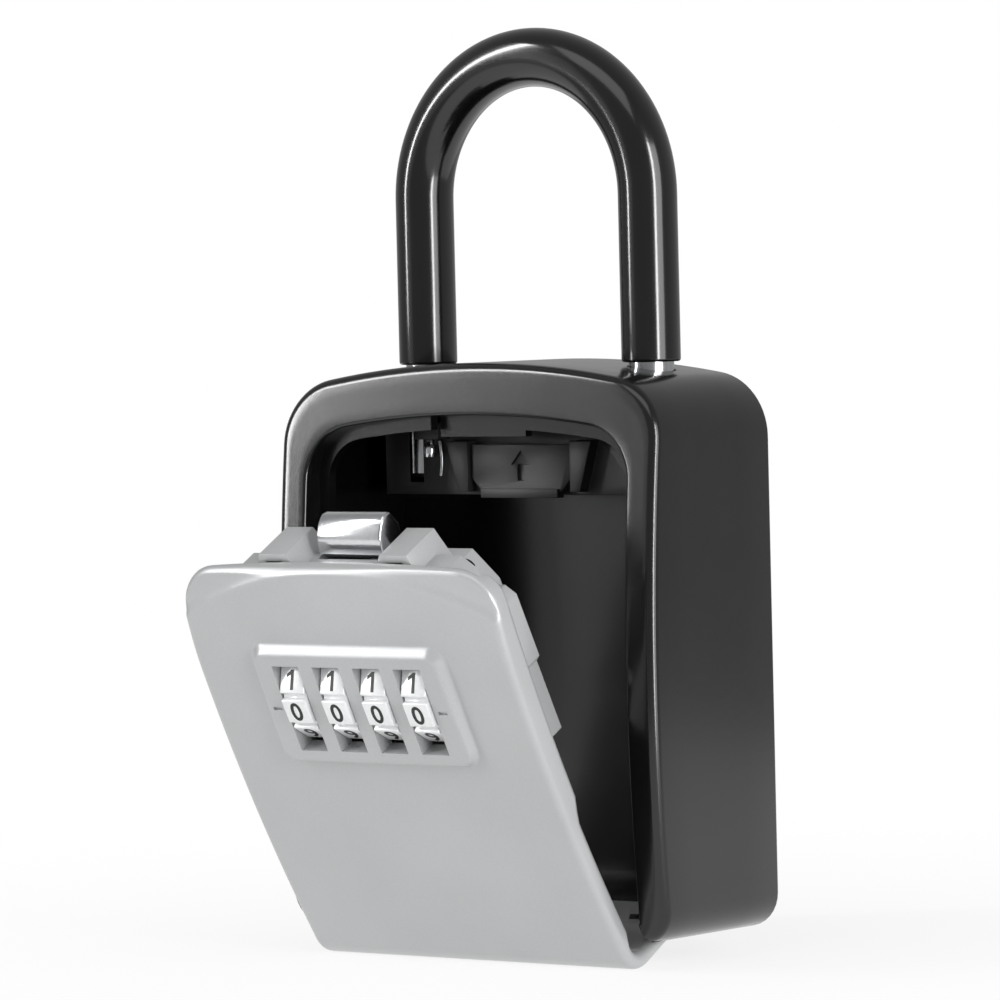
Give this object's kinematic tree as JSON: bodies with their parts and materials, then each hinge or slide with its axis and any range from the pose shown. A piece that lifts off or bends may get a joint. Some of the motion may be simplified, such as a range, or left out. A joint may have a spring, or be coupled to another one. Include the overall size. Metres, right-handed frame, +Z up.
{
  "type": "key lock box",
  "caption": "Wall or shackle-hung key safe with a drop-down dialled door, a push-down latch and a lift-out padlock shackle.",
  "frame": {"origin": "centre of the flat back face, half way up the box body", "axes": "+X to the right seen from the front, +Y back into the wall, +Z up along the shackle"},
  "size_m": [0.0938, 0.0838, 0.1846],
  "materials": {
    "black_paint": "satin black powder coat on die-cast zinc",
    "grey_paint": "satin silver-grey paint on die-cast zinc",
    "chrome": "polished nickel-chrome plate",
    "steel": "bright zinc-plated steel",
    "black_sleeve": "glossy vinyl sleeve",
    "dial_white": "silver-white moulded dials",
    "black_plastic": "satin moulded nylon"
  },
  "bodies": {
    "box": {"body_shell": "black_paint", "lock_housing": "black_plastic", "housing_screw_left": "steel", "housing_screw_right": "steel", "keeper_pin": "chrome", "keeper_spring": "steel", "hinge_pin_left": "steel", "hinge_pin_right": "steel"},
    "shackle": {"shackle_core": "steel", "shackle_sleeve": "black_sleeve"},
    "release_slider": {"release_slider": "black_plastic"},
    "lock_bolt_left": {"lock_bolt_left": "steel"},
    "lock_bolt_right": {"lock_bolt_right": "steel"},
    "door": {"door_panel": "grey_paint", "door_cover": "grey_paint", "cover_screw_top_left": "chrome", "cover_screw_top_right": "chrome", "cover_screw_low_left": "chrome", "cover_screw_low_right": "chrome", "dial_axle": "steel", "dial_spring": "steel", "latch_spring_left": "steel", "latch_spring_right": "steel"},
    "latch": {"latch_button": "chrome", "latch_plate": "steel"},
    "reset_lever": {"reset_lever": "black_plastic"},
    "dial_1": {"dial_wheel_1": "dial_white", "dial_cam_1": "steel"},
    "dial_2": {"dial_wheel_2": "dial_white", "dial_cam_2": "steel"},
    "dial_3": {"dial_wheel_3": "dial_white", "dial_cam_3": "steel"},
    "dial_4": {"dial_wheel_4": "dial_white", "dial_cam_4": "steel"}
  },
  "joints": [
    {"name": "door_hinge", "type": "hinge", "parent": "box", "child": "door", "pos_m": [0, -0.0264, -0.0536], "axis": [1, 0, 0], "range_deg": [-29, 0]},
    {"name": "shackle_lift", "type": "slide", "parent": "box", "child": "shackle", "axis": [0, 0, 1], "range_m": [0, 0.022]},
    {"name": "release_push", "type": "slide", "parent": "box", "child": "release_slider", "axis": [0, 0, 1], "range_m": [-0.004, 0]},
    {"name": "lock_bolt_left_slide", "type": "slide", "parent": "box", "child": "lock_bolt_left", "axis": [-1, 0, 0], "range_m": [0, 0.003]},
    {"name": "lock_bolt_right_slide", "type": "slide", "parent": "box", "child": "lock_bolt_right", "axis": [1, 0, 0], "range_m": [0, 0.003]},
    {"name": "latch_push", "type": "slide", "parent": "door", "child": "latch", "axis": [0, -0.4848, 0.8746], "range_m": [-0.0032, 0], "stiffness_N_per_m": 400, "springref_m": 0.002},
    {"name": "reset_slide", "type": "slide", "parent": "door", "child": "reset_lever", "axis": [0, -0.4848, 0.8746], "range_m": [0, 0.004]},
    {"name": "dial_1_spin", "type": "hinge", "parent": "door", "child": "dial_1", "pos_m": [-0.015, -0.06524, -0.00539], "axis": [1, 0, 0], "continuous": true},
    {"name": "dial_2_spin", "type": "hinge", "parent": "door", "child": "dial_2", "pos_m": [-0.005, -0.06524, -0.00539], "axis": [1, 0, 0], "continuous": true},
    {"name": "dial_3_spin", "type": "hinge", "parent": "door", "child": "dial_3", "pos_m": [0.005, -0.06524, -0.00539], "axis": [1, 0, 0], "continuous": true},
    {"name": "dial_4_spin", "type": "hinge", "parent": "door", "child": "dial_4", "pos_m": [0.015, -0.06524, -0.00539], "axis": [1, 0, 0], "continuous": true}
  ],
  "couplings": [
    {"joint": "lock_bolt_left_slide", "follows": "release_push", "ratio": -0.75},
    {"joint": "lock_bolt_right_slide", "follows": "release_push", "ratio": -0.75}
  ]
}
